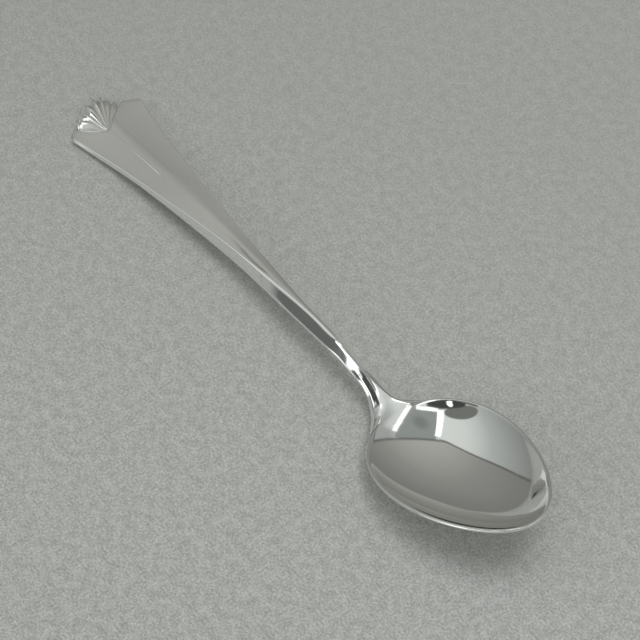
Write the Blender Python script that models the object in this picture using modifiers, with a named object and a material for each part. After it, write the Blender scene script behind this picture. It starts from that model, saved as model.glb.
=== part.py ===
# Demitasse spoon in polished silver: a raised egg-shaped bowl, a forged handle
# whose heel laps under the back of the bowl, and a small fluted shell let into
# a notch in the handle's flared end.
#
# Frame: +X runs from the shell end to the bowl tip, +Z is up, and the spoon
# lies on the plane Z = 0 with its origin in the middle of its box.
import bpy
import bmesh
import numpy as np
from math import radians, sin, cos, pi
from mathutils import Vector

MM = 0.001

# ---------------------------------------------------------------- dimensions
# All in millimetres. Stations along the spoon count from the two corners of
# the flared end (station 0); the bowl tip is at BOWL_TIP.
BOWL_TIP = 108.0            # station of the bowl's tip
SHELL_TIP = -5.0            # station of the shell's outermost flute
MID = (BOWL_TIP + SHELL_TIP) / 2.0

BOWL_CENTRE = 91.85         # station of mid bowl
BOWL_HALF_LENGTH = 16.95    # inside the rim, along its plane
BOWL_HALF_WIDTH = 10.87
BOWL_EGG = 0.188            # how much wider the neck half is than the tip half
BOWL_TILT = radians(16.6)   # rim plane rises toward the tip
BOWL_RIM_HEIGHT = 7.15      # rim plane above the table at mid bowl
BOWL_SHEER = 0.30           # the rim lifts this much at tip and neck
BOWL_DEPTH = 5.06           # inside, from the rim plane
BOWL_DEEPEST = -1.2         # deepest point, measured from mid bowl
BOWL_WALL = 0.85
BOWL_EDGE_ROUND = 0.22

JOINT_GAP = 0.14            # solder film around both joints
LAP_ANGLE = radians(24.0)   # the heel grips this much of the rim each side
LAP_REACH = 0.130           # fraction of the bowl's radius the heel laps under
LAP_TONGUE = 0.25           # thickness of the heel's feathered edge

# The flared end from its left corner, round the notch, to its right corner:
# station and distance from the centre line. The notch sits a little to the left.
END_LINE = ((0.30, -7.70), (0.12, -7.05), (-1.30, -5.42), (-1.18, -5.24), (2.52, -1.66),
            (2.52, -0.88), (-1.84, 4.16), (-1.96, 4.36), (-0.42, 7.20), (-0.24, 7.70))
HINGE = (2.80, -1.27)       # the point that the shell's flutes spread from
# Outer ends of the grooves between the flutes, with the shell's two flanks.
GROOVES = ((-1.14, -5.16), (-2.42, -3.98), (-3.62, -2.70), (-4.96, -0.62),
           (-5.02, 1.20), (-4.36, 2.42), (-3.06, 3.42), (-1.80, 4.08))
FLANK_IN = ((-0.695, 0.719), (-0.756, -0.654))  # from each flank of the notch into the shell

SHELL_FLUTES = 7
SHELL_SEAT = (1.50, 0.86)   # height at the hinge and at the outer edge
SHELL_RISE = 0.86           # dome of the shell over its edge
SHELL_FLUTE_RISE = (0.16, 0.64)
SHELL_WORN = (4.5, 5.5)     # flutes past these are worn flatter

# Handle stations: station, top edge height, half width across the top edge,
# half width at the widest line, drop from the top edge to the widest line,
# underside height, roof height of the centre line over the edges.
HANDLE_STATIONS = (
    (-2.6,  0.70, 7.57, 7.86, 0.38, 0.00, 0.60),
    (-1.8,  0.80, 7.41, 7.70, 0.38, 0.00, 0.60),
    (0.0,   1.00, 7.05, 7.34, 0.40, 0.00, 0.60),
    (4.0,   1.28, 6.25, 6.55, 0.43, 0.00, 0.60),
    (9.0,   1.80, 5.32, 5.63, 0.46, 0.38, 0.60),
    (16.0,  2.75, 4.33, 4.63, 0.60, 1.16, 0.57),
    (23.0,  3.75, 3.27, 3.54, 1.05, 1.85, 0.50),
    (30.0,  4.60, 2.42, 2.78, 1.65, 2.32, 0.40),
    (38.0,  5.20, 1.56, 2.15, 1.82, 2.78, 0.25),
    (45.0,  5.58, 0.95, 1.97, 1.70, 3.26, 0.13),
    (52.0,  6.00, 0.43, 1.86, 1.68, 3.70, 0.06),
    (58.0,  6.30, 0.20, 1.68, 1.70, 3.90, 0.03),
    (62.0,  6.24, 0.24, 1.48, 1.64, 3.75, 0.03),
    (64.0,  5.97, 0.28, 1.35, 1.47, 3.55, 0.03),
    (67.0,  5.36, 0.28, 1.30, 1.28, 3.10, 0.03),
    (69.0,  5.00, 0.30, 1.35, 1.18, 2.80, 0.03),
    (70.5,  4.58, 0.37, 1.52, 1.26, 2.45, 0.03),
    (72.0,  4.06, 0.60, 1.90, 1.46, 1.90, 0.03),
    (73.5,  3.44, 1.11, 2.70, 1.78, 1.10, 0.03),
)
RIB_HALF_WIDTH = 1.0        # raised rib down the middle of the flared end
RIB_RISE = 0.10
RIB_FADES = (15.5, 20.5)    # stations between which the rib runs out

RINGS_ALONG = (-2.6, -1.2, 0.0, 1.2, 2.4, 4.0, 6.5, 9.0, 12.5, 16.0, 19.5,
               23.0, 26.5, 30.0, 34.0, 38.0, 41.5, 45.0, 48.5, 52.0, 55.0,
               58.0, 60.0, 62.0, 64.0, 65.5, 67.0, 68.0, 69.0, 70.5, 72.0, 72.8,
               73.5)
FLARE_RINGS = 6             # between the last station and the bowl


# ------------------------------------------------------------------- helpers
def through(points, x):
    """Smooth curve through (station, value) pairs."""
    xs = [p[0] for p in points]
    ys = [p[1] for p in points]
    n = len(xs)
    k = 0
    while k < n - 2 and x > xs[k + 1]:
        k += 1

    def slope(i):
        if i == 0:
            return (ys[1] - ys[0]) / (xs[1] - xs[0])
        if i == n - 1:
            return (ys[-1] - ys[-2]) / (xs[-1] - xs[-2])
        a = (ys[i] - ys[i - 1]) / (xs[i] - xs[i - 1])
        b = (ys[i + 1] - ys[i]) / (xs[i + 1] - xs[i])
        return 0.0 if a * b <= 0.0 else (a + b) / 2.0

    h = xs[k + 1] - xs[k]
    t = (x - xs[k]) / h
    return ((2 * t**3 - 3 * t**2 + 1) * ys[k]
            + (t**3 - 2 * t**2 + t) * h * slope(k)
            + (-2 * t**3 + 3 * t**2) * ys[k + 1]
            + (t**3 - t**2) * h * slope(k + 1))


def station(column, x):
    return through([(row[0], row[column]) for row in HANDLE_STATIONS], x)


def ease(a, b, x):
    t = min(max((x - a) / (b - a), 0.0), 1.0)
    return t * t * (3.0 - 2.0 * t)


def world(p):
    return Vector(((p[0] - MID) * MM, p[1] * MM, p[2] * MM))


# ---------------------------------------------------------------------- bowl
def rim(theta):
    """Rim outline in the rim's own plane; theta = 0 at the tip."""
    c, s = cos(theta), sin(theta)
    return (BOWL_HALF_LENGTH * c,
            BOWL_HALF_WIDTH * s * (1.0 - BOWL_EGG * c),
            BOWL_SHEER * c * c)


def bowl_inside(rho, theta):
    """Point on the bowl's inner surface; rho = 1 on the rim."""
    w = 1.015 * BOWL_HALF_WIDTH
    h = BOWL_DEPTH / w
    r = (1.0 + h * h) / (2.0 * h)
    rx, ry, rz = rim(theta)
    x = BOWL_DEEPEST * (1.0 - rho) + rho * rx
    y = rho * ry
    z = rz * rho * rho - w * (max(r * r - rho * rho, 0.0)**0.5 - (r - h))
    return np.array((BOWL_CENTRE + x * cos(BOWL_TILT) - z * sin(BOWL_TILT),
                     y,
                     BOWL_RIM_HEIGHT + x * sin(BOWL_TILT) + z * cos(BOWL_TILT)))


def bowl_normal(rho, theta):
    e = 1e-3
    a = bowl_inside(rho + e, theta) - bowl_inside(rho - e, theta)
    b = bowl_inside(rho, theta + e) - bowl_inside(rho, theta - e)
    n = np.cross(a, b)
    n = n / np.linalg.norm(n)
    return n if n[2] > 0.0 else -n


def bowl_below(rho, theta, drop):
    return bowl_inside(rho, theta) - bowl_normal(rho, theta) * drop


# -------------------------------------------------------------------- handle
def rib_height(x):
    return RIB_RISE * (1.0 - ease(RIB_FADES[0], RIB_FADES[1], x))


def section(x):
    """Top line and underside of the handle at a station, left to right."""
    zt, wt, wb = station(1, x), station(2, x), station(3, x)
    drop, zb, roof = station(4, x), station(5, x), station(6, x)
    wr = min(RIB_HALF_WIDTH, 0.42 * wt)
    rib = rib_height(x)

    def facet(y):
        t = max((wt - y) / (wt - wr), 0.0)
        return zt + roof * min(t, 1.0)**1.25

    half = [(0.0, facet(wr) + rib),
            (0.55 * wr, facet(wr) + 0.72 * rib),
            (wr, facet(wr))]
    for k in (0.33, 0.66):
        y = wr + 0.02 + k * (wt - wr)
        half.append((y, facet(y)))
    edge = min(0.16, 0.12 * wt)
    half.append((wt - edge, zt))
    half.append((wt + 0.3 * (wb - wt), zt - 0.30 * drop))
    half.append((wb, zt - drop))
    top = [np.array((x, -y, z)) for y, z in reversed(half)]
    top += [np.array((x, y, z)) for y, z in half[1:]]
    n = 5.0 - 2.8 * ease(6.0, 40.0, x)
    m = len(top)
    under = []
    for i in range(m):
        y = top[i][1]
        s = min(abs(i - (m - 1) / 2.0) / ((m - 1) / 2.0), 1.0)
        yy = wb * sin(s * pi / 2.0) * (1.0 if y > 0 else -1.0)
        z = zb + (zt - drop - zb) * (1.0 - (1.0 - abs(yy / wb)**n)**(1.0 / n)) if s < 1.0 else zt - drop
        under.append(np.array((x, yy, z)))
    return top, under


def hermite(a, ta, b, tb, t):
    return ((2 * t**3 - 3 * t**2 + 1) * a + (t**3 - 2 * t**2 + t) * ta
            + (-2 * t**3 + 3 * t**2) * b + (t**3 - t**2) * tb)


def heel_rows(m):
    """Rows of the heel's seat, from its top edge round to the tongue's tip."""
    rows = [[], [], [], [], []]
    for i in range(m):
        k = 2.0 * i / (m - 1) - 1.0          # -1 left shoulder, +1 right shoulder
        theta = pi - LAP_ANGLE * k
        u = (1.0 - k * k)
        low = 1.0 - LAP_REACH * u**0.7
        reach = 1.014 + 0.020 * abs(k)**3
        g = BOWL_WALL + JOINT_GAP
        rows[0].append(bowl_below(reach, theta, 0.70 * abs(k)**3))
        rows[1].append(bowl_below(reach, theta, g + 0.02))
        rows[2].append(bowl_below(1.0 + (low - 1.0) * 0.5, theta, g))
        rows[3].append(bowl_below(low, theta, g))
        rows[4].append(bowl_below(low, theta, g + LAP_TONGUE))
    return rows


def handle_rings():
    rings = [section(x) for x in RINGS_ALONG]
    last = RINGS_ALONG[-1]
    m = len(rings[-1][0])
    top0, under0 = rings[-1]
    a_top, a_under = section(last - 0.5)
    seat = heel_rows(m)
    reach = seat[0][m // 2][0] - last
    for f in range(1, FLARE_RINGS + 1):
        t = f / FLARE_RINGS
        top, under = [], []
        for i in range(m):
            k = 2.0 * i / (m - 1) - 1.0
            theta = pi - LAP_ANGLE * k
            go = (top0[i] - a_top[i]) * 2.0 * reach
            # the outline leaves the stem straight and runs out along the rim
            along = bowl_inside(1.0, theta - 1e-3 * (1 if k > 0 else -1)) - bowl_inside(1.0, theta)
            along = along / np.linalg.norm(along)
            inward = bowl_inside(0.97, theta) - bowl_inside(1.03, theta)
            inward = inward / np.linalg.norm(inward)
            w = abs(k)**1.5
            arrive = (along * w + inward * (1.0 - w)) * reach * (1.0 + 0.2 * w)
            top.append(hermite(top0[i], go, seat[0][i], arrive, t))
            go = (under0[i] - a_under[i]) * 2.0 * reach
            lower = seat[4][i]
            arrive = (along * w + np.array((1.0, 0.0, -0.10)) * (1.0 - w)) * reach * (1.1 + 0.1 * w)
            under.append(hermite(under0[i], go, lower, arrive, t))
        # the two lines share the outline's points
        under[0] = top[0] * (1.0 - t) + under[0] * t
        under[-1] = top[-1] * (1.0 - t) + under[-1] * t
        rings.append((top, under))
    return rings, seat


# --------------------------------------------------------------------- shell
def flute_at(u):
    """Flute number counted from the left flank, and the place across it, -1 to 1."""
    p = min(max((u + 1.0) / 2.0, 0.0), 1.0) * SHELL_FLUTES
    return p, 2.0 * (p - min(int(p + 1e-9), SHELL_FLUTES - 1)) - 1.0


def shell_plan(u, v):
    """Plan point of the shell: u runs across the flutes, v outward."""
    p, t = flute_at(u)
    line = np.array([np.interp(p, range(SHELL_FLUTES + 1), [g[c] for g in GROOVES]) for c in (0, 1)])
    away = line - np.array(HINGE)
    away = away / np.linalg.norm(away)
    outer = line + away * (0.27 * cos(t * pi / 2.0)**0.8 - 0.20 if abs(t) < 0.999 else -0.20)
    inner = np.array(HINGE) + away * 0.45
    # both flanks stand off the notch by the solder film
    film = (JOINT_GAP - 0.04) * np.array(FLANK_IN[0 if u < 0.0 else 1]) * abs(u)**4
    return inner * (1.0 - v) + outer * v + film


def shell_top(u, v):
    p, t = flute_at(u)
    lean = (t - 0.30) / (1.30 if t < 0.30 else 0.70)
    flute = max(1.0 - abs(lean)**1.9, 0.0)**0.75 * (1.0 - 0.80 * ease(SHELL_WORN[0], SHELL_WORN[1], p))
    across = max(1.0 - u * u, 0.0)**0.8
    along = min(1.0, v / 0.58)**0.8 * (1.0 - (max(v - 0.52, 0.0) / 0.48)**2 * 0.74)
    base = SHELL_SEAT[0] * (1.0 - v) + SHELL_SEAT[1] * v
    return (base + SHELL_RISE * across * along
            + flute * (SHELL_FLUTE_RISE[0] + SHELL_FLUTE_RISE[1] * ease(0.0, 0.6, v)) - 0.25 * v**8)


# ------------------------------------------------------------------ the build
for item in list(bpy.data.objects):
    bpy.data.objects.remove(item, do_unlink=True)

parts = bpy.data.collections.new("demitasse_spoon")
cutters = bpy.data.collections.new("demitasse_spoon_cutters")
bpy.context.scene.collection.children.link(parts)
bpy.context.scene.collection.children.link(cutters)


def silver(name, color, roughness):
    mat = bpy.data.materials.new(name)
    mat.use_nodes = True
    shader = mat.node_tree.nodes["Principled BSDF"]
    shader.inputs["Base Color"].default_value = (*color, 1.0)
    shader.inputs["Metallic"].default_value = 1.0
    shader.inputs["Roughness"].default_value = roughness
    return mat


def add(name, bm, collection, material=None, smooth=True):
    bmesh.ops.recalc_face_normals(bm, faces=bm.faces[:])
    mesh = bpy.data.meshes.new(name)
    bm.to_mesh(mesh)
    bm.free()
    if smooth:
        mesh.shade_smooth()
        mesh.set_sharp_from_angle(angle=radians(35.0))
    obj = bpy.data.objects.new(name, mesh)
    if material is not None:
        mesh.materials.append(material)
    collection.objects.link(obj)
    return obj


# Bowl: the lower half of a sphere reshaped to the egg-shaped hollow, with the
# wall added on its outside and the edge of the rim rounded.
SEGMENTS, BANDS = 48, 18
bm = bmesh.new()
bmesh.ops.create_uvsphere(bm, u_segments=SEGMENTS, v_segments=BANDS, radius=1.0)
bmesh.ops.delete(bm, geom=[v for v in bm.verts if v.co.z > 1e-4], context='VERTS')
for v in bm.verts:
    down = np.arctan2((v.co.x**2 + v.co.y**2)**0.5, -v.co.z)
    rho = float(down / (pi / 2.0))
    theta = float(np.arctan2(v.co.y, v.co.x))
    v.co = world(bowl_inside(rho, theta))
for face in bm.faces:
    if face.normal.z < 0.0:
        face.normal_flip()
mesh = bpy.data.meshes.new("bowl")
bm.normal_update()
bm.to_mesh(mesh)
bm.free()
mesh.shade_smooth()
bowl = bpy.data.objects.new("bowl", mesh)
mesh.materials.append(silver("bowl_silver", (0.86, 0.86, 0.84), 0.06))
parts.objects.link(bowl)
wall = bowl.modifiers.new("wall", 'SOLIDIFY')
wall.thickness = BOWL_WALL * MM
wall.offset = -1.0
wall.use_even_offset = True
edge = bowl.modifiers.new("edge", 'BEVEL')
edge.width = BOWL_EDGE_ROUND * MM
edge.segments = 2
edge.limit_method = 'ANGLE'
edge.angle_limit = radians(50.0)

# Handle: a loft from the flared end to the heel under the bowl.
rings, seat = handle_rings()
bm = bmesh.new()
loops = []
m = len(rings[0][0])
for top, under in rings:
    tops = [bm.verts.new(world(p)) for p in top]
    unders = [bm.verts.new(world(p)) for p in under[1:-1]]
    loops.append(tops + unders[::-1])
count = len(loops[0])
for a, b in zip(loops, loops[1:]):
    for i in range(count):
        j = (i + 1) % count
        bm.faces.new((a[i], a[j], b[j], b[i]))
# flared end: strips between top line and underside
first = loops[0]
unders = [first[0]] + first[m:][::-1] + [first[m - 1]]
for i in range(m - 1):
    ring = [first[i], unders[i], unders[i + 1], first[i + 1]]
    ring = [v for k, v in enumerate(ring) if v not in ring[:k]]
    bm.faces.new(ring)
# heel: the seat that hugs the bowl
last = loops[-1]
lasts = [last[0]] + last[m:][::-1] + [last[m - 1]]
rows = [last[:m]]
for r in (1, 2, 3):
    row = [bm.verts.new(world(p)) for p in seat[r][1:-1]]
    rows.append([last[0]] + row + [last[m - 1]])
rows.append(lasts)
for a, b in zip(rows, rows[1:]):
    for i in range(m - 1):
        ring = [a[i], a[i + 1], b[i + 1], b[i]]
        ring = [v for k, v in enumerate(ring) if v not in ring[:k]]
        if len(ring) > 2:
            bm.faces.new(ring)
handle = add("handle", bm, parts, silver("handle_silver", (0.85, 0.85, 0.83), 0.09))

# Notch in the flared end, sawn right through.
bm = bmesh.new()
outline = list(END_LINE) + [(-0.24, 9.0), (-5.0, 9.0), (-5.0, -9.0), (0.30, -9.0)]
base = [bm.verts.new(world((x, y, -1.0))) for x, y in outline]
face = bm.faces.new(base)
lift = bmesh.ops.extrude_face_region(bm, geom=[face])
bmesh.ops.translate(bm, verts=[g for g in lift["geom"] if isinstance(g, bmesh.types.BMVert)],
                    vec=(0.0, 0.0, 5.0 * MM))
notch = add("shell_notch", bm, cutters, smooth=False)
notch.hide_render = True
notch.display_type = 'WIRE'
cut = handle.modifiers.new("shell_notch", 'BOOLEAN')
cut.operation = 'DIFFERENCE'
cut.solver = 'EXACT'
cut.object = notch

# Shell: a fluted dome with a flat back, raised from a plain grid.
ACROSS, OUT = SHELL_FLUTES * 4, 8
bm = bmesh.new()
bmesh.ops.create_grid(bm, x_segments=ACROSS, y_segments=OUT, size=1.0)
for v in bm.verts:
    u, w = v.co.x, (v.co.y + 1.0) / 2.0
    x, y = shell_plan(u, w)
    v.co = world((x, y, shell_top(u, w)))
skirt = bmesh.ops.extrude_face_region(bm, geom=bm.faces[:])
for g in skirt["geom"]:
    if isinstance(g, bmesh.types.BMVert):
        g.co.z = 0.0
shell = add("shell_finial", bm, parts, silver("shell_silver", (0.88, 0.88, 0.87), 0.07))
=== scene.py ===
# Looks of the demitasse spoon: polished silver bowl, forged handle and fluted
# shell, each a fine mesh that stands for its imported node, on a plain pale floor.
from math import radians, sin, cos, pi

import bpy
import numpy as np
from mathutils import Matrix, Vector


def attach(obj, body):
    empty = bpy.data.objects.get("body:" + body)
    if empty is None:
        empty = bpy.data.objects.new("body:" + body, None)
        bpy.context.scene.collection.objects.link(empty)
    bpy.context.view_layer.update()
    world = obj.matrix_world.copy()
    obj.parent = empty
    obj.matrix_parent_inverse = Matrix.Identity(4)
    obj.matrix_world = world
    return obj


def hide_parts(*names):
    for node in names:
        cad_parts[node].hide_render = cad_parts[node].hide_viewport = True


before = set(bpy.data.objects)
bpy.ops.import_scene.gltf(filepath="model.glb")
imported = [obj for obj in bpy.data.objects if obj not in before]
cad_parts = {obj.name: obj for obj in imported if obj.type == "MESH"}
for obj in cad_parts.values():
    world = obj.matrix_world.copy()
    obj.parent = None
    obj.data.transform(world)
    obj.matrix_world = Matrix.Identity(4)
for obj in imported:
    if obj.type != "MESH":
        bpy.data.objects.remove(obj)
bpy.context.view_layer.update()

MM = 0.001
MID = 51.5                  # the row's origin, as a station along the spoon

# ---------------------------------------------------------------- dimensions
# Millimetres. Stations count from the corners of the flared end.
BOWL_CENTRE = 91.85
BOWL_HALF_LENGTH = 16.95
BOWL_HALF_WIDTH = 10.87
BOWL_EGG = 0.188
BOWL_TILT = radians(16.6)
BOWL_RIM_HEIGHT = 7.15
BOWL_SHEER = 0.30
BOWL_DEPTH = 5.06
BOWL_DEEPEST = -1.2
BOWL_WALL = 0.85
BOWL_RIM_WALL = 0.60

LAP_ANGLE = radians(27.0)
CREASE_ANGLE = radians(12.0)
LAP_REACH = 0.130
LAP_TONGUE = 0.25

# the end of the handle, from its left corner past the notch to its right one
END_LINE = np.array((
    (0.22, -7.70), (0.02, -7.05), (-1.62, -5.82), (-1.18, -5.24), (2.52, -1.66),
    (2.52, -0.88), (-1.84, 4.16), (-1.96, 4.36), (-0.42, 7.20), (-0.24, 7.70)))
HINGE = np.array((2.80, -1.27))
# outer ends of the grooves between the shell's flutes, with the two flanks
GROOVES = np.array((
    (-1.14, -5.16), (-2.42, -3.98), (-3.62, -2.70), (-4.96, -0.62),
    (-5.02, 1.20), (-4.36, 2.42), (-3.06, 3.42), (-1.80, 4.08)))

# station, top edge height, half width across the top edge, half width at the
# widest line, drop from the top edge to the widest line, underside, roof
HANDLE_STATIONS = np.array((
    (-1.8,  0.80, 7.41, 7.70, 0.38, 0.00, 0.60),
    (0.0,   1.00, 7.05, 7.34, 0.40, 0.00, 0.60),
    (4.0,   1.28, 6.25, 6.55, 0.43, 0.00, 0.60),
    (9.0,   1.80, 5.32, 5.63, 0.46, 0.38, 0.60),
    (16.0,  2.75, 4.33, 4.63, 0.60, 1.16, 0.57),
    (23.0,  3.75, 3.27, 3.54, 1.05, 1.85, 0.55),
    (30.0,  4.60, 2.42, 2.78, 1.65, 2.32, 0.45),
    (38.0,  5.20, 1.56, 2.15, 1.82, 2.78, 0.28),
    (45.0,  5.58, 0.95, 1.97, 1.70, 3.26, 0.13),
    (52.0,  6.00, 0.43, 1.86, 1.68, 3.70, 0.06),
    (58.0,  6.30, 0.27, 1.68, 1.70, 3.90, 0.03),
    (62.0,  6.24, 0.27, 1.48, 1.64, 3.75, 0.03),
    (64.0,  5.97, 0.28, 1.35, 1.47, 3.55, 0.03),
    (65.5,  5.66, 0.21, 1.32, 1.36, 3.34, 0.03),
    (67.0,  5.36, 0.20, 1.30, 1.28, 3.10, 0.03),
    (69.0,  5.00, 0.30, 1.35, 1.18, 2.80, 0.03),
    (70.5,  4.58, 0.37, 1.52, 1.26, 2.45, 0.03),
    (72.0,  4.06, 0.60, 1.90, 1.46, 1.90, 0.03),
    (73.5,  3.44, 1.11, 2.70, 1.78, 1.10, 0.03),
))
HANDLE_LAST = 73.5

SHELL_FLUTES = 7


# ------------------------------------------------------------------- helpers
def through(xs, ys, x):
    """Smooth curve through stations, for one x."""
    n = len(xs)
    k = int(np.clip(np.searchsorted(xs, x) - 1, 0, n - 2))

    def slope(i):
        if i == 0:
            return (ys[1] - ys[0]) / (xs[1] - xs[0])
        if i == n - 1:
            return (ys[-1] - ys[-2]) / (xs[-1] - xs[-2])
        a = (ys[i] - ys[i - 1]) / (xs[i] - xs[i - 1])
        b = (ys[i + 1] - ys[i]) / (xs[i + 1] - xs[i])
        return 0.0 if a * b <= 0.0 else (a + b) / 2.0

    h = xs[k + 1] - xs[k]
    t = (x - xs[k]) / h
    return ((2 * t**3 - 3 * t**2 + 1) * ys[k] + (t**3 - 2 * t**2 + t) * h * slope(k)
            + (-2 * t**3 + 3 * t**2) * ys[k + 1] + (t**3 - t**2) * h * slope(k + 1))


def ease(a, b, x):
    t = np.clip((np.asarray(x, float) - a) / (b - a), 0.0, 1.0)
    return t * t * (3.0 - 2.0 * t)


def unit(v):
    return v / np.maximum(np.linalg.norm(v, axis=-1, keepdims=True), 1e-12)


def hermite(a, ta, b, tb, t):
    return ((2 * t**3 - 3 * t**2 + 1) * a + (t**3 - 2 * t**2 + t) * ta
            + (-2 * t**3 + 3 * t**2) * b + (t**3 - t**2) * tb)


# ---------------------------------------------------------------------- bowl
def bowl_inside(rho, theta):
    w = 1.015 * BOWL_HALF_WIDTH
    h = BOWL_DEPTH / w
    r = (1.0 + h * h) / (2.0 * h)
    rho, theta = np.broadcast_arrays(np.asarray(rho, float), np.asarray(theta, float))
    c, s = np.cos(theta), np.sin(theta)
    x = BOWL_DEEPEST * (1.0 - rho) + rho * BOWL_HALF_LENGTH * c
    y = rho * BOWL_HALF_WIDTH * s * (1.0 - BOWL_EGG * c)
    z = BOWL_SHEER * c * c * rho * rho - w * (np.sqrt(np.maximum(r * r - rho * rho, 0.0)) - (r - h))
    return np.stack((BOWL_CENTRE + x * cos(BOWL_TILT) - z * sin(BOWL_TILT), y,
                     BOWL_RIM_HEIGHT + x * sin(BOWL_TILT) + z * cos(BOWL_TILT)), -1)


def bowl_frame(rho, theta):
    """Upward normal of the hollow, and the direction out along its wall."""
    e = 1e-4
    rho = np.maximum(np.asarray(rho, float), 0.01)
    out = unit(bowl_inside(rho + e, theta) - bowl_inside(rho - e, theta))
    around = bowl_inside(rho, np.asarray(theta) + e) - bowl_inside(rho, np.asarray(theta) - e)
    n = unit(np.cross(out, around))
    n = np.where(n[..., 2:3] > 0.0, n, -n)
    return n, out


def wall(rho):
    return BOWL_RIM_WALL + (BOWL_WALL - BOWL_RIM_WALL) * (1.0 - ease(0.72, 1.0, rho))


def bowl_below(rho, theta, drop):
    n, _ = bowl_frame(rho, theta)
    return bowl_inside(rho, theta) - n * np.asarray(drop)[..., None]


def lip(theta):
    """1 where the rim has its rounded lip, 0 across the neck."""
    away = np.abs((np.asarray(theta) % (2.0 * pi)) - pi)
    return ease(CREASE_ANGLE, CREASE_ANGLE + radians(6.0), away)


# -------------------------------------------------------------------- handle
NF, NS = 22, 26             # points of a half section: across the top, then edge and side


def rib_height(x):
    return 0.07 * (1.0 - ease(15.5, 20.5, x))


def profile(x):
    """Half section of the handle, centre to widest line: top y, z, under y, z."""
    zt, wt, wb, drop, zb, roof = (through(HANDLE_STATIONS[:, 0], HANDLE_STATIONS[:, c], x)
                                  for c in range(1, 7))
    radius = 0.17
    d = min(radius, 0.45 * wt, 0.34 * drop)
    # on the stem the edge is filed to two narrow flats, the upper one running
    # out where the handle starts to fall and the lower one starting there
    filed = float(ease(36.0, 45.0, x))
    over = float(ease(60.5, 61.7, x))
    upper, lower = 0.28 * (1.0 - over) + 0.02, 0.32 * over + 0.02
    run = upper * cos(radians(24.5)) + lower * cos(radians(39.5))
    fall = upper * sin(radians(24.5)) + lower * sin(radians(39.5))
    d += (min(run - 0.92 * fall, 0.62 * wt) - d) * filed
    wr = min(1.0 - 0.55 * float(ease(20.0, 32.0, x)), 0.42 * wt, 0.60 * (wt - d))
    tick = min(0.03, 0.3 * wr)

    hollow = 1.7 - 0.6 * float(ease(14.0, 24.0, x))

    def facet(y):
        return zt + roof * np.clip((wt - y) / (wt - wr), 0.0, 1.0)**hollow

    lean = roof * hollow / (wt - wr)
    # rib and crown, then the hollow facet
    y1 = np.concatenate((np.linspace(0.0, wr - tick, 7), [wr], [wr + tick],
                         np.linspace(wr + tick, wt - d, NF - 8)[1:]))
    s = np.clip(y1 / wr, 0.0, 1.0)
    z1 = np.where(y1 < wr, facet(wr) + lean / (2 * wr) * (wr * wr - y1 * y1)
                  + rib_height(x) * (1.0 - s**2.4), facet(y1))
    # edge rounding, then the side down to the widest line: a bevel on the flared
    # end, a filed flat on the stem that swells into two flats at the neck
    corner = np.array((wt, zt))
    low = np.array((wb, zt - drop))
    chord = low - corner
    normal = np.array((-chord[1], chord[0]))
    flat = 1.0 - float(ease(14.0, 30.0, x))
    control = (np.array((wb, zt - 0.72 * drop)) * (1.0 - flat)
               + (corner + 0.5 * chord + 0.10 * normal) * flat)
    knee = low + np.array((-0.01, 0.16))
    swell = 0.08 * float(ease(67.3, 68.7, x))
    bend = corner + 0.58 * (knee - corner) + swell * np.array((corner[1] - knee[1], knee[0] - corner[0]))
    u_side = unit((control - corner) * (1.0 - filed) + (bend - corner) * filed)
    p1 = np.array((wt - d, facet(wt - d)))
    p2 = corner + u_side * (d + (fall / max(-u_side[1], 0.3) - d) * filed)
    t = np.linspace(0.0, 1.0, 10)[1:, None]
    edge = (1 - t)**2 * p1 + 2 * t * (1 - t) * corner + t * t * p2
    pm = p1 + (p2 - p1) * (upper / (upper + lower))
    pm = pm + (p1 + upper * np.array((cos(radians(24.5)), -sin(radians(24.5)))) - pm) * filed
    t = np.array((0.10, 0.36, 0.64, 0.90))[:, None]
    flats = np.concatenate((p1 + (pm - p1) * t, pm + (p2 - pm) * t, p2[None]))
    edge = edge * (1.0 - filed) + flats * filed
    t = np.linspace(0.0, 1.0, NS - 9 + 1)[1:, None]
    plain = (1 - t)**2 * p2 + 2 * t * (1 - t) * control + t * t * low
    k1, k2 = bend + (p2 - bend) * 0.30, bend + (knee - bend) * 0.30
    k3 = knee + (bend - knee) * 0.35
    t4 = np.linspace(0.0, 1.0, 5)[1:, None]
    t5 = np.linspace(0.0, 1.0, 6)[1:, None]
    stem = np.concatenate((
        p2 + (k1 - p2) * np.linspace(0.0, 1.0, 5)[1:, None],
        (1 - t4)**2 * k1 + 2 * t4 * (1 - t4) * bend + t4 * t4 * k2,
        k2 + (k3 - k2) * t4,
        (1 - t5)**2 * k3 + 2 * t5 * (1 - t5) * knee + t5 * t5 * low))
    side = plain * (1.0 - filed) + stem * filed
    yt = np.concatenate((y1, edge[:, 0], side[:, 0]))
    z_top = np.concatenate((z1, edge[:, 1], side[:, 1]))
    # underside: flat with round corners at the end, round along the stem
    n = 3.2 - 1.0 * float(ease(6.0, 40.0, x))
    yc = y1 / wt * wb * 0.98
    a1 = np.arcsin(np.clip(yc / wb, 0.0, 1.0)**(n / 2.0))
    a2 = np.linspace(a1[-1], pi / 2.0, NS + 1)[1:]
    a = np.concatenate((a1, a2))
    yu = wb * np.sin(a)**(2.0 / n)
    zu = (zt - drop) - (zt - drop - zb) * np.clip(np.cos(a), 0.0, 1.0)**(2.0 / n)
    yu[-1], zu[-1] = wb, zt - drop
    return yt, z_top, yu, zu


def end_line(y):
    """Station of the handle's end at a distance from its centre line."""
    return np.interp(y, END_LINE[:, 1], END_LINE[:, 0])


def mirrored(x, y, z):
    """Half section to whole section, left to right."""
    right = np.stack((np.broadcast_to(x, y.shape), y, z), -1)
    left = right[:0:-1] * np.array((1.0, -1.0, 1.0))
    return np.concatenate((left, right))


def flat_ring(x):
    yt, zt, yu, zu = profile(x)
    return mirrored(x, yt, zt), mirrored(x, yu, zu)


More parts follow.
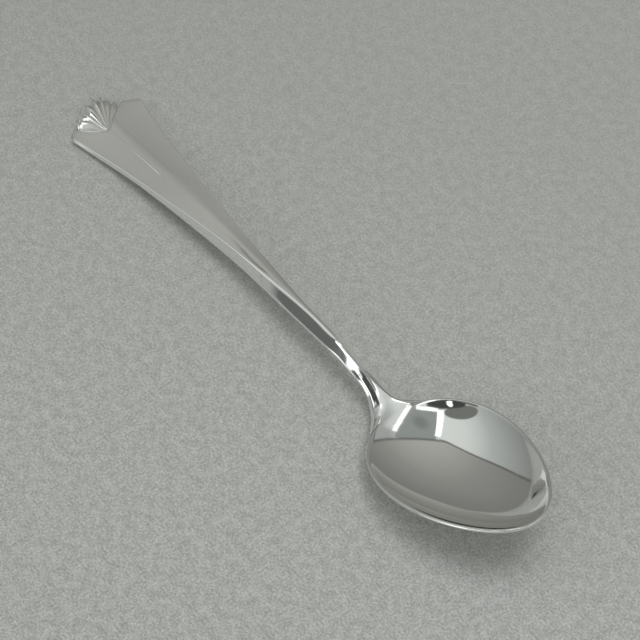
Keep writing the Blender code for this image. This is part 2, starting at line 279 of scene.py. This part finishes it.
def end_half(side, which, share, start, inset):
    """Half of a ring that follows the notched end, with a point on each corner."""
    n = NF + NS
    marks = np.sort(side * END_LINE[1:-1, 1])
    marks = marks[marks > 0.05]
    shift = np.zeros(n)
    base = profile(0.0)[which]
    for m in marks[marks < 6.6]:
        k = 1 + int(np.argmin(np.abs(base[1:NF - 2] - m)))
        shift[k] = m - base[k]
    out = np.zeros((n, 3))
    for i in range(n):
        x = 0.0
        for _ in range(6):
            y = profile(x)[which][i] + shift[i] * (1.0 - share)
            e = float(end_line(side * y)) + inset
            x = e + (start - e) * share
        p = profile(x)
        out[i] = (x, side * y, np.interp(y, p[which], p[which + 1]) if shift[i] else p[which + 1][i])
    return out


def end_ring(share, start, inset=0.0, lower=0.0):
    halves = []
    for which in (0, 2):
        right = end_half(1.0, which, share, start, inset)
        left = end_half(-1.0, which, share, start, inset)
        if which == 0:
            for half in (right, left):
                half[:, 2] -= lower * (1.0 - np.linspace(0, 1, len(half))**12)
        halves.append(np.concatenate((left[:0:-1], right)))
    return tuple(halves)


def handle_mesh():
    rings = [end_ring(0.0, 6.0, 0.0, 0.10), end_ring(0.0, 6.0, 0.03, 0.03),
             end_ring(0.0, 6.0, 0.10, 0.0)]
    rings += [end_ring(s, 6.0, 0.10) for s in np.linspace(0.0, 1.0, 10)[1:]]
    rings += [flat_ring(x) for x in np.linspace(6.0, HANDLE_LAST, 76)[1:]]

    # the flare: from the stem to the bowl's wall above and the heel below
    n = NF + NS
    top0, under0 = rings[-1]
    back_top, back_under = flat_ring(HANDLE_LAST - 0.25)
    index = np.abs(np.arange(2 * n - 1) - (n - 1))
    sign = np.where(np.arange(2 * n - 1) < n - 1, -1.0, 1.0)
    yt, _, yu, _ = profile(HANDLE_LAST)
    across = yt[:NF] / yt[NF - 1] * CREASE_ANGLE
    _, zt, _, _ = profile(HANDLE_LAST)
    length = np.cumsum(np.hypot(np.diff(yt[NF - 1:]), np.diff(zt[NF - 1:])))
    past = length / length[-1]
    away = np.concatenate((across, CREASE_ANGLE + (LAP_ANGLE - CREASE_ANGLE) * past))[index]
    sink = np.concatenate((np.zeros(NF), past))[index]
    theta_t = pi - sign * away
    kappa = (yu / yu[-1])[index]
    theta_u = pi - sign * LAP_ANGLE * kappa
    low = 1.0 - LAP_REACH * np.clip(1.0 - kappa**2, 0.0, 1.0)**0.7
    top1 = bowl_below(1.0, theta_t, 0.66 * sink**1.6)
    drop_u = (wall(low) + LAP_TONGUE) * (1.0 - kappa**6) + 0.66 * kappa**6
    under1 = bowl_below(low, theta_u, drop_u)
    under1[0], under1[-1] = top1[0], top1[-1]

    reach = top1[n - 1][0] - HANDLE_LAST
    e = 1e-3
    k = (away / LAP_ANGLE)[:, None]
    along = unit(bowl_inside(1.0, theta_t - e * sign) - bowl_inside(1.0, theta_t))
    inward = unit(bowl_inside(0.97, theta_t) - bowl_inside(1.03, theta_t))
    w = k**1.5
    arrive_top = (along * w + inward * (1.0 - w)) * reach * (1.0 + 0.2 * w)
    go_top = (top0 - back_top) * 4.0 * reach
    ku = kappa[:, None]
    along_u = unit(bowl_inside(1.0, theta_u - e * sign) - bowl_inside(1.0, theta_u))
    wu = ku**1.5
    arrive_under = (along_u * wu + np.array((1.0, 0.0, -0.10)) * (1.0 - wu)) * reach * (1.1 + 0.1 * wu)
    go_under = (under0 - back_under) * 4.0 * reach
    for t in np.linspace(0.0, 1.0, 17)[1:]:
        top = hermite(top0, go_top, top1, arrive_top, t)
        under = hermite(under0, go_under, under1, arrive_under, t)
        rings.append((top, under))

    verts, loops = [], []
    m = 2 * n - 1
    for top, under in rings:
        at = len(verts)
        verts += list(top) + list(under[1:-1][::-1])
        loops.append(list(range(at, at + m + m - 2)))
    faces = []
    count = len(loops[0])
    for a, b in zip(loops, loops[1:]):
        for i in range(count):
            j = (i + 1) % count
            faces.append((a[i], a[j], b[j], b[i]))

    def rows_between(rows):
        for a, b in zip(rows, rows[1:]):
            for i in range(m - 1):
                ring = [a[i], a[i + 1], b[i + 1], b[i]]
                ring = [v for q, v in enumerate(ring) if v not in ring[:q]]
                if len(ring) > 2:
                    faces.append(tuple(ring))

    def under_row(loop):
        return [loop[0]] + loop[m:][::-1] + [loop[m - 1]]

    first, last = loops[0], loops[-1]
    rows_between([under_row(first), first[:m]])
    # the heel's seat against the bowl
    rows = [last[:m]]
    for share in (0.0, 0.5, 1.0):
        th = theta_t * (1.0 - share) + theta_u * share
        rho = 1.0 + (low - 1.0) * share
        p = bowl_below(rho, th, wall(rho) + 0.004)
        at = len(verts)
        verts += list(p[1:-1])
        rows.append([last[0]] + list(range(at, at + m - 2)) + [last[m - 1]])
    rows.append(under_row(last))
    rows_between(rows)
    seam = [(last[i], float(theta_t[i])) for i in range(n - NF, n + NF - 1)]
    return np.array(verts), faces, seam, theta_t[n - NF:n + NF - 1]


def bowl_mesh(neck):
    """The bowl; its rows across the neck share the handle's points."""
    side = radians(6.5)
    a, b = float(np.min(neck)), float(np.max(neck))
    step = radians(2.0)
    lead = np.linspace(b, b + side, 9)[1:]
    tail = np.linspace(a - side, a, 9)[:-1]
    rest = np.linspace(b + side, 2 * pi + a - side, int((2 * pi - (b - a) - 2 * side) / step) + 1)[1:-1]
    theta = np.concatenate((np.sort(neck), lead, rest, tail + 2 * pi))
    c = len(theta)
    rise = lip(theta)
    edge = 1.0 - 0.016 * rise
    ni, nr, no = 48, 11, 34
    verts = [bowl_inside(0.0, 0.0)]
    rows = []

    def add(points):
        at = len(verts)
        verts.extend(list(points))
        rows.append(list(range(at, at + c)))

    for j in range(1, ni + 1):
        add(bowl_inside(edge * j / ni, theta))
    nrm, out = bowl_frame(edge, theta)
    a0 = bowl_inside(edge, theta)
    th = wall(edge)
    for j in range(1, nr):
        f = pi * j / nr
        add(a0 - nrm * (th / 2 * (1 - cos(f)))[:, None]
            + out * (0.5 * th * 0.92 * rise * sin(f))[:, None])
    for j in range(no, 0, -1):
        rho = edge * j / no
        add(bowl_below(rho, theta, wall(rho)))
    verts.append(bowl_below(0.0, np.array(0.0), BOWL_WALL))
    faces = []
    for i in range(c):
        faces.append((0, rows[0][i], rows[0][(i + 1) % c]))
    for p, q in zip(rows, rows[1:]):
        for i in range(c):
            j = (i + 1) % c
            faces.append((p[i], q[i], q[j], p[j]))
    for i in range(c):
        faces.append((len(verts) - 1, rows[-1][(i + 1) % c], rows[-1][i]))
    seam = [(rows[ni - 1][i], float(theta[i])) for i in range(len(neck))]
    return np.array(verts), faces, seam


# --------------------------------------------------------------------- shell
def shell_mesh():
    per, nv = 16, 46
    nu = SHELL_FLUTES * per
    p = np.linspace(0.0, SHELL_FLUTES, nu + 1)
    u = p / SHELL_FLUTES * 2.0 - 1.0
    flute = np.minimum(np.floor(p), SHELL_FLUTES - 1)
    t = 2.0 * (p - flute) - 1.0
    peak = 0.30
    lean = np.where(t < peak, (t - peak) / (1.0 + peak), (t - peak) / (1.0 - peak))
    ridge = np.clip(1.0 - np.abs(lean)**1.4, 0.0, 1.0)**0.9
    line = np.stack([np.interp(p, np.arange(SHELL_FLUTES + 1), GROOVES[:, c]) for c in (0, 1)], -1)
    away = unit(line - HINGE)
    line = line - away * 0.40
    outer = line + away * (0.27 * np.cos(t * pi / 2.0)**0.8)[:, None]
    inner = HINGE + away * 0.45
    # the last flutes on the right are worn flatter
    relief = 1.0 - 0.80 * ease(4.5, 5.5, p)
    verts, rows = [], []

    def add(points):
        at = len(verts)
        verts.extend(list(points))
        rows.append(list(range(at, at + nu + 1)))

    across = np.clip(1.0 - np.abs(u)**2.0, 0.0, 1.0)**0.8
    for j in range(nv + 1):
        v = (j / nv)**0.92
        rise = min(1.0, v / 0.68)**0.85 * (1.0 - (max(v - 0.64, 0.0) / 0.36)**2 * 0.66)
        seat = 1.45 * (1.0 - v) + 0.89 * v
        z = (seat + 0.84 * across * rise + relief * ridge * (0.15 + 0.66 * ease(0.0, 0.7, v))
             - 0.28 * (max(v - 0.83, 0.0) / 0.17)**2)
        add(np.column_stack((inner * (1.0 - v) + outer * v, z)))
    # rounded outer edge, then the wall down to the flat back
    top = np.array(verts[-(nu + 1):])
    out = np.column_stack((away, np.zeros(nu + 1)))
    for f in (18, 36, 54, 72, 90):
        r = 0.20
        add(top + out * (r * sin(radians(f))) - np.array((0, 0, 1.0)) * (r * (1 - cos(radians(f)))))
    low = np.array(verts[-(nu + 1):])
    low[:, 2] = 0.0
    add(low)
    base_row = rows[-1]
    faces = []
    for a, b in zip(rows, rows[1:]):
        for i in range(nu):
            faces.append((a[i], b[i], b[i + 1], a[i + 1]))
    # flanks and the inner end, down to the back
    flanks = []
    for col in (0, nu):
        line = [r[col] for r in rows[:-1]]
        at = len(verts)
        feet = []
        for k, v in enumerate(line):
            q = np.array(verts[v])
            q[2] = 0.0
            verts.append(q)
            feet.append(at + k)
        feet.append(base_row[col])
        line.append(base_row[col])
        flanks.append(feet)
        for k in range(len(line) - 1):
            ring = [line[k], feet[k], feet[k + 1], line[k + 1]]
            ring = [v for q, v in enumerate(ring) if v not in ring[:q]]
            if len(ring) > 2:
                faces.append(tuple(ring))
    inner_feet = [flanks[0][0]]
    for i in range(1, nu):
        q = np.array(verts[rows[0][i]])
        q[2] = 0.0
        verts.append(q)
        inner_feet.append(len(verts) - 1)
    inner_feet.append(flanks[1][0])
    for i in range(nu):
        faces.append((rows[0][i], rows[0][i + 1], inner_feet[i + 1], inner_feet[i]))
    # flat back: one fan of strips between the inner feet and the outer feet
    for i in range(nu):
        faces.append((inner_feet[i], inner_feet[i + 1], base_row[i + 1], base_row[i]))
    for feet, end in ((flanks[0], 0), (flanks[1], nu)):
        faces.append(tuple([feet[0]] + feet[1:-1] + [base_row[end]]))
    return np.array(verts), faces


# ------------------------------------------------------------------ the build
def add_piece(name, verts, faces, sharp, seam=()):
    mesh = bpy.data.meshes.new(name)
    world = (np.asarray(verts) - np.array((MID, 0.0, 0.0))) * MM
    mesh.from_pydata(world.tolist(), [], [list(f) for f in faces])
    mesh.validate()
    obj = bpy.data.objects.new(name, mesh)
    bpy.context.scene.collection.objects.link(obj)
    bpy.context.view_layer.objects.active = obj
    obj.select_set(True)
    bpy.ops.object.mode_set(mode='EDIT')
    bpy.ops.mesh.select_all(action='SELECT')
    bpy.ops.mesh.normals_make_consistent(inside=False)
    bpy.ops.object.mode_set(mode='OBJECT')
    obj.select_set(False)
    mesh.shade_smooth()
    mesh.set_sharp_from_angle(angle=radians(sharp))
    if seam:
        # the polished joint: both pieces take the hollow's own normal there
        wanted = {}
        for v, theta in seam:
            wanted[v] = bowl_frame(1.0, np.array(theta))[0]
        normals = np.zeros(len(mesh.loops) * 3, np.float32)
        mesh.corner_normals.foreach_get("vector", normals)
        normals = normals.reshape(-1, 3)
        for loop in mesh.loops:
            if loop.vertex_index in wanted:
                n = wanted[loop.vertex_index]
                if float(np.dot(normals[loop.index], n)) > 0.75:
                    normals[loop.index] = n
        mesh.normals_split_custom_set(normals.tolist())
    return obj


def trim_left(verts):
    """The broad end is a little narrower left of its centre line."""
    verts = np.array(verts, float)
    x, y = verts[:, 0], verts[:, 1]
    half = np.interp(x, HANDLE_STATIONS[:, 0], HANDLE_STATIONS[:, 3])
    verts[:, 1] = y + 0.46 * ease(0.3, 1.0, -y / half) * (1.0 - ease(14.0, 25.0, x))
    return verts


verts, faces, seam, neck = handle_mesh()
handle = add_piece("handle_forged", trim_left(verts), faces, 42.0, seam)
verts, faces, seam = bowl_mesh(neck)
bowl = add_piece("bowl_raised", verts, faces, 42.0, seam)
verts, faces = shell_mesh()
shell = add_piece("shell_fluted", trim_left(verts), faces, 60.0)

for piece, node, slot in ((bowl, "bowl", "bowl_silver"), (handle, "handle", "handle_silver"),
                          (shell, "shell_finial", "shell_silver")):
    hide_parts(node)
    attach(piece, "root")


# ----------------------------------------------------------------- materials
def node(tree, kind, **props):
    n = tree.nodes.new(kind)
    for key, value in props.items():
        setattr(n, key, value)
    return n


def feed(tree, value, socket):
    """Link a socket, or set a plain value."""
    if hasattr(value, "is_linked"):
        tree.links.new(value, socket)
    else:
        socket.default_value = value


def math(tree, op, a, b=0.0):
    n = node(tree, 'ShaderNodeMath', operation=op)
    feed(tree, a, n.inputs[0])
    feed(tree, b, n.inputs[1])
    return n.outputs[0]


def spread(tree, value, lo, hi, out_lo, out_hi, kind='SMOOTHSTEP'):
    n = node(tree, 'ShaderNodeMapRange', interpolation_type=kind)
    feed(tree, value, n.inputs['Value'])
    for key, v in (('From Min', lo), ('From Max', hi), ('To Min', out_lo), ('To Max', out_hi)):
        n.inputs[key].default_value = v
    return n.outputs['Result']


def mix(tree, fac, a, b):
    n = node(tree, 'ShaderNodeMix', data_type='RGBA', clamp_factor=True)
    feed(tree, fac, n.inputs[0])
    feed(tree, a, n.inputs[6])
    feed(tree, b, n.inputs[7])
    return n.outputs[2]


def noise(tree, coords, scale, detail=2.0, stretch=(1.0, 1.0, 1.0), turn=0.0, distortion=0.0):
    m = node(tree, 'ShaderNodeMapping')
    tree.links.new(coords, m.inputs['Vector'])
    m.inputs['Rotation'].default_value = (0.0, 0.0, turn)
    m.inputs['Scale'].default_value = stretch
    n = node(tree, 'ShaderNodeTexNoise')
    tree.links.new(m.outputs['Vector'], n.inputs['Vector'])
    n.inputs['Scale'].default_value = scale
    n.inputs['Detail'].default_value = detail
    n.inputs['Distortion'].default_value = distortion
    return n.outputs['Fac']


def silver(name, color, tarnish, smooth, rough, wave, scratch, grooves, satin=None):
    """Polished sterling: worn-in roughness, hairline scratches, faint waviness,
    and a trace of tarnish that polishing leaves in the hollows."""
    mat = bpy.data.materials.new(name)
    mat.use_nodes = True
    t = mat.node_tree
    shader = t.nodes["Principled BSDF"]
    shader.inputs["Metallic"].default_value = 1.0
    coords = node(t, 'ShaderNodeTexCoord').outputs['Object']
    if satin:
        # the broad end is worn to a faint satin that scatters some light
        place = node(t, 'ShaderNodeSeparateXYZ')
        t.links.new(coords, place.inputs['Vector'])
        t.links.new(spread(t, place.outputs['X'], satin[0], satin[1], 0.86, 1.0), shader.inputs["Metallic"])
    cloud = noise(t, coords, 130.0, 3.0)
    fine = noise(t, coords, 900.0, 2.0)
    hair_a = noise(t, coords, 2600.0, 1.0, (0.02, 1.0, 1.0), 0.35)
    hair_b = noise(t, coords, 2400.0, 1.0, (1.0, 0.03, 1.0), -0.55)
    hair = math(t, 'MAXIMUM', spread(t, hair_a, 0.60, 0.74, 0.0, 1.0), spread(t, hair_b, 0.62, 0.76, 0.0, 1.0))
    patch = spread(t, cloud, 0.42, 0.66, 0.0, 1.0)
    hair_seen = math(t, 'MULTIPLY', hair, patch)
    # colour: bright metal, duller in patches, darker in the hollows
    point = node(t, 'ShaderNodeNewGeometry').outputs['Pointiness']
    hollow = spread(t, point, grooves[0], grooves[1], 1.0, 0.0)
    dull = math(t, 'MULTIPLY', spread(t, fine, 0.40, 0.70, 0.0, 1.0), patch)
    base = mix(t, math(t, 'MULTIPLY', dull, 0.30), (*color, 1.0), tuple(0.93 * c for c in color) + (1.0,))
    base = mix(t, hollow, base, (*tarnish, 1.0))
    t.links.new(base, shader.inputs["Base Color"])
    # roughness: polished, with softer worn patches and scratches
    r = spread(t, cloud, 0.35, 0.70, smooth, rough, 'LINEAR')
    r = math(t, 'ADD', r, math(t, 'MULTIPLY', hair_seen, 0.05))
    r = math(t, 'ADD', r, math(t, 'MULTIPLY', hollow, 0.12))
    t.links.new(r, shader.inputs["Roughness"])
    # surface: slow waviness of the polishing, then the scratches
    bump = node(t, 'ShaderNodeBump')
    bump.inputs['Strength'].default_value = 1.0
    bump.inputs['Distance'].default_value = wave
    t.links.new(noise(t, coords, 95.0, 1.0), bump.inputs['Height'])
    cut = node(t, 'ShaderNodeBump', invert=True)
    cut.inputs['Strength'].default_value = 1.0
    cut.inputs['Distance'].default_value = scratch
    t.links.new(hair_seen, cut.inputs['Height'])
    t.links.new(bump.outputs['Normal'], cut.inputs['Normal'])
    t.links.new(cut.outputs['Normal'], shader.inputs["Normal"])
    return mat


bowl.data.materials.append(silver("bowl_silver_polished", (0.90, 0.90, 0.888), (0.70, 0.69, 0.65),
                                  0.035, 0.075, 3.0e-6, 6.0e-7, (0.36, 0.46)))
handle.data.materials.append(silver("handle_silver_polished", (0.95, 0.95, 0.935), (0.62, 0.61, 0.57),
                                    0.05, 0.09, 3.0e-6, 6.0e-7, (0.38, 0.47), (-0.022, -0.006)))
shell.data.materials.append(silver("shell_silver_polished", (0.95, 0.95, 0.935), (0.30, 0.29, 0.265),
                                   0.12, 0.19, 2.0e-6, 5.0e-7, (0.34, 0.47)))

# --------------------------------------------------------------------- stage
scene = bpy.context.scene
scene.view_settings.view_transform = 'Standard'
scene.view_settings.look = 'None'

bpy.ops.mesh.primitive_plane_add(size=3.0, location=(0.0, 0.0, -0.00003))
floor = bpy.context.object
floor.name = "floor"
mat = bpy.data.materials.new("floor_pale")
mat.use_nodes = True
t = mat.node_tree
shader = t.nodes["Principled BSDF"]
coords = node(t, 'ShaderNodeTexCoord').outputs['Object']
grain = math(t, 'ADD', math(t, 'MULTIPLY', noise(t, coords, 650.0, 3.0), 0.32),
             math(t, 'MULTIPLY', noise(t, coords, 2800.0, 2.0), 0.68))
grain = spread(t, grain, 0.36, 0.64, 0.0, 1.0, 'LINEAR')
# painted light falloff: over the grain, the floor colour is painted lighter towards the camera and darker away from
# it, with stronger grain on the near side
slope = node(t, 'ShaderNodeVectorMath', operation='DOT_PRODUCT')
t.links.new(coords, slope.inputs[0])
slope.inputs[1].default_value = (0.41, -0.77, 0.0)
near_tone_painted_lighter = mix(t, grain, (0.427, 0.432, 0.416, 1.0), (0.743, 0.748, 0.728, 1.0))
far_tone_painted_darker = mix(t, grain, (0.438, 0.442, 0.426, 1.0), (0.592, 0.597, 0.577, 1.0))
grain_with_painted_falloff = mix(t, spread(t, slope.outputs['Value'], -0.06, 0.05, 0.0, 1.0), far_tone_painted_darker, near_tone_painted_lighter)
t.links.new(grain_with_painted_falloff, shader.inputs["Base Color"])
shader.inputs["Roughness"].default_value = 0.85
shader.inputs["Specular IOR Level"].default_value = 0.15
floor.data.materials.append(mat)

# ---------------------------------------------------------------- soft studio
# A pale light tent with two strip lights and a low side panel. Directions are
# given on a round chart of the sky: 450, 450 is overhead, 300 out is level,
# x to the right of the view and y towards the camera.
RIGHT = np.array((0.6125, 0.7905, 0.0))
NEAR = np.array((0.7905, -0.6125, 0.0))
UP = np.array((0.0, 0.0, 1.0))


def sky(x, y):
    dx, dy = x - 450.0, y - 450.0
    r = max((dx * dx + dy * dy)**0.5, 1e-6)
    el = radians(90.0 - 0.3 * r)
    return cos(el) * (dx / r * RIGHT + dy / r * NEAR) + sin(el) * UP


world = bpy.data.worlds.new("studio")
scene.world = world
world.use_nodes = True
w = world.node_tree
toward = node(w, 'ShaderNodeTexCoord').outputs['Generated']


def along(v):
    n = node(w, 'ShaderNodeVectorMath', operation='DOT_PRODUCT')
    w.links.new(toward, n.inputs[0])
    n.inputs[1].default_value = tuple(v)
    return n.outputs['Value']


def side(p, q, inside, soft):
    """1 on the inside of the line of sight from p to q."""
    n = np.cross(sky(*p), sky(*q))
    n = n / np.linalg.norm(n)
    if np.dot(n, sky(*inside)) < 0.0:
        n = -n
    return spread(w, along(n), -soft, soft, 0.0, 1.0)


def panel(points, soft):
    """1 inside a panel with these corners."""
    middle = np.mean(np.array(points, float), 0)
    mask = None
    for p, q in zip(points, points[1:] + points[:1]):
        m = side(p, q, middle, soft)
        mask = m if mask is None else math(w, 'MULTIPLY', mask, m)
    return mask


def disc(centre, half_x, half_y, turn, soft):
    """1 inside an oval, half sizes in chart units."""
    d = sky(*centre)
    e = np.array((cos(turn), sin(turn)))
    ex = sky(centre[0] + e[0], centre[1] + e[1]) - d
    ex = ex / np.linalg.norm(ex)
    ey = np.cross(d, ex)
    a = math(w, 'DIVIDE', along(ex), sin(radians(0.3 * half_x)))
    b = math(w, 'DIVIDE', along(ey), sin(radians(0.3 * half_y)))
    r = math(w, 'SQRT', math(w, 'ADD', math(w, 'MULTIPLY', a, a), math(w, 'MULTIPLY', b, b)))
    ahead = spread(w, along(d), 0.0, 0.2, 0.0, 1.0)
    return math(w, 'MULTIPLY', spread(w, r, 1.0 - soft, 1.0 + soft, 1.0, 0.0), ahead)


def shade(stops, tint):
    """Grey by height above the floor."""
    ramp = node(w, 'ShaderNodeValToRGB')
    w.links.new(along(UP), ramp.inputs['Fac'])
    cr = ramp.color_ramp
    while len(cr.elements) < len(stops):
        cr.elements.new(0.5)
    for e, (at, v) in zip(cr.elements, stops):
        e.position = at
        e.color = (v * tint[0], v * tint[1], v * tint[2], 1.0)
    return ramp.outputs['Color']


far_wall = shade(((0.0, 0.195), (0.20, 0.21), (0.40, 0.24), (0.60, 0.27), (0.79, 0.335), (1.0, 0.42)),
                 (1.0, 1.01, 0.94))
left_wall = shade(((0.0, 0.25), (0.25, 0.335), (0.50, 0.44), (0.65, 0.56), (0.80, 0.66), (1.0, 0.72)),
                  (0.95, 1.0, 0.965))
light = shade(((0.0, 0.42), (0.40, 0.50), (0.75, 0.60), (1.0, 0.64)), (0.94, 1.0, 0.955))
# towards the camera the tent is open and darker
light = mix(w, spread(w, along(NEAR), 0.25, 0.65, 0.0, 1.0), light, (0.36, 0.37, 0.355, 1.0))
light = mix(w, spread(w, along(RIGHT), 0.34, 0.56, 0.0, 1.0), light, (0.36, 0.37, 0.365, 1.0))


def bowed(normal, off, soft):
    """1 beyond a slightly bowed edge of the tent."""
    return spread(w, along(normal), off - soft, off + soft, 0.0, 1.0)


LEFT_EDGE, LEFT_OFF = np.array((-0.5109, 0.8443, 0.1620)), 0.3489
TOP_EDGE, TOP_OFF = np.array((-0.7711, 0.5087, 0.3829)), 0.6494
past_left = bowed(LEFT_EDGE, LEFT_OFF, 0.010)
past_top = math(w, 'MAXIMUM', bowed(TOP_EDGE, TOP_OFF, 0.010), bowed(-NEAR, 0.62, 0.05))
STRIP_FOOT, STRIP_HEAD = (391, 488), (424, 400)
left_side = math(w, 'MULTIPLY', math(w, 'SUBTRACT', 1.0, past_left), side(STRIP_HEAD, STRIP_FOOT, (330, 420), 0.010))
light = mix(w, left_side, light, left_wall)
light = mix(w, math(w, 'MULTIPLY', past_left, past_top), light, far_wall)


def seam(normal, off, width, dark, limit):
    """A thin dark seam of the tent along a bowed edge, where limit is 1."""
    gap = math(w, 'ABSOLUTE', math(w, 'SUBTRACT', along(normal), off))
    return mix(w, math(w, 'MULTIPLY', spread(w, gap, 0.0, width, dark, 0.0), limit), light, (0.10, 0.10, 0.095, 1.0))


# between the strip lights a duller panel, then the seams and the strips
light = mix(w, panel([(431, 392), (545, 372), (495, 492), (403, 488)], 0.010), light, (0.28, 0.30, 0.29, 1.0))
light = mix(w, math(w, 'MULTIPLY', disc((463, 440), 21, 19, 0.0, 0.60), 0.6), light, (0.16, 0.17, 0.165, 1.0))
light = mix(w, math(w, 'MULTIPLY', past_left, past_top), light, far_wall)
light = seam(LEFT_EDGE, LEFT_OFF, 0.024, 0.90, bowed(TOP_EDGE, TOP_OFF - 0.01, 0.03))
light = seam(TOP_EDGE, TOP_OFF, 0.024, 0.82, bowed(LEFT_EDGE, LEFT_OFF - 0.01, 0.02))
WHITE = (1.5, 1.55, 1.52, 1.0)
light = mix(w, panel([(431, 404), (402, 488), (380, 488), (416, 404)], 0.008), light, WHITE)
light = mix(w, math(w, 'MULTIPLY', panel([(578, 392), (530, 478), (502, 480), (548, 394)], 0.06), 0.75), light,
            (0.66, 0.69, 0.675, 1.0))
light = mix(w, panel([(551, 390), (498, 490), (484, 490), (538, 392)], 0.013), light, WHITE)
light = mix(w, panel([(472, 482), (404, 483), (398, 496), (468, 492)], 0.008), light, WHITE)
# dark flags and a small lamp on the near left
light = mix(w, disc((321, 482), 62, 20, -0.03, 0.08), light, (0.17, 0.175, 0.165, 1.0))
light = mix(w, panel([(436, 497), (390, 492), (304, 499), (288, 510), (292, 545), (345, 550), (420, 535)], 0.015),
            light, (0.055, 0.06, 0.055, 1.0))
light = mix(w, disc((353, 511), 10, 9, 0.0, 0.25), light, WHITE)
# the low panel on the left, and the flag above it
light = mix(w, panel([(120, 474), (178, 474), (184, 524), (100, 540)], 0.04), light, (0.345, 0.355, 0.345, 1.0))
light = mix(w, math(w, 'MULTIPLY', panel([(182, 470), (205, 470), (205, 530), (182, 530)], 0.08), 0.9), light,
            (0.137, 0.140, 0.138, 1.0))
light = mix(w, panel([(237, 487), (253, 489), (270, 500), (286, 506), (290, 530), (262, 552), (236, 552)], 0.010),
            light, (1.35, 1.38, 1.35, 1.0))
light = mix(w, panel([(168, 524), (294, 530), (372, 610), (360, 690), (140, 690), (110, 545)], 0.012),
            light, (1.35, 1.38, 1.35, 1.0))
light = mix(w, panel([(246, 592), (372, 592), (372, 700), (246, 700)], 0.03), light, (0.50, 0.515, 0.505, 1.0))
light = mix(w, panel([(186, 478), (216, 461), (222, 464), (232, 497), (234, 552), (216, 552), (194, 515)], 0.010), light,
            (0.12, 0.125, 0.12, 1.0))
w.links.new(light, w.nodes["Background"].inputs["Color"])

# a soft overhead light for the floor and the shadow
box = bpy.data.lights.new("softbox", 'AREA')
box.shape = 'DISK'
box.size = 0.24
box.energy = 0.42
softbox = bpy.data.objects.new("softbox", box)
scene.collection.objects.link(softbox)
place = Vector(tuple(RIGHT * 0.10 + NEAR * 0.02 + UP * 0.42))
softbox.location = place
softbox.rotation_euler = place.to_track_quat('Z', 'Y').to_euler()
softbox.visible_glossy = False

lens = bpy.data.cameras.new("camera")
lens.sensor_width = 36.0
lens.lens = 159.645
camera = bpy.data.objects.new("camera", lens)
scene.collection.objects.link(camera)
right = Vector((0.612495, 0.790474, -0.000304))
down = Vector((0.632534, -0.490346, -0.599551))
fwd = Vector((-0.474079, 0.367031, -0.800336))
camera.matrix_world = Matrix(((right.x, -down.x, -fwd.x, 0.212084),
                              (right.y, -down.y, -fwd.y, -0.159572),
                              (right.z, -down.z, -fwd.z, 0.354695),
                              (0.0, 0.0, 0.0, 1.0)))
scene.camera = camera
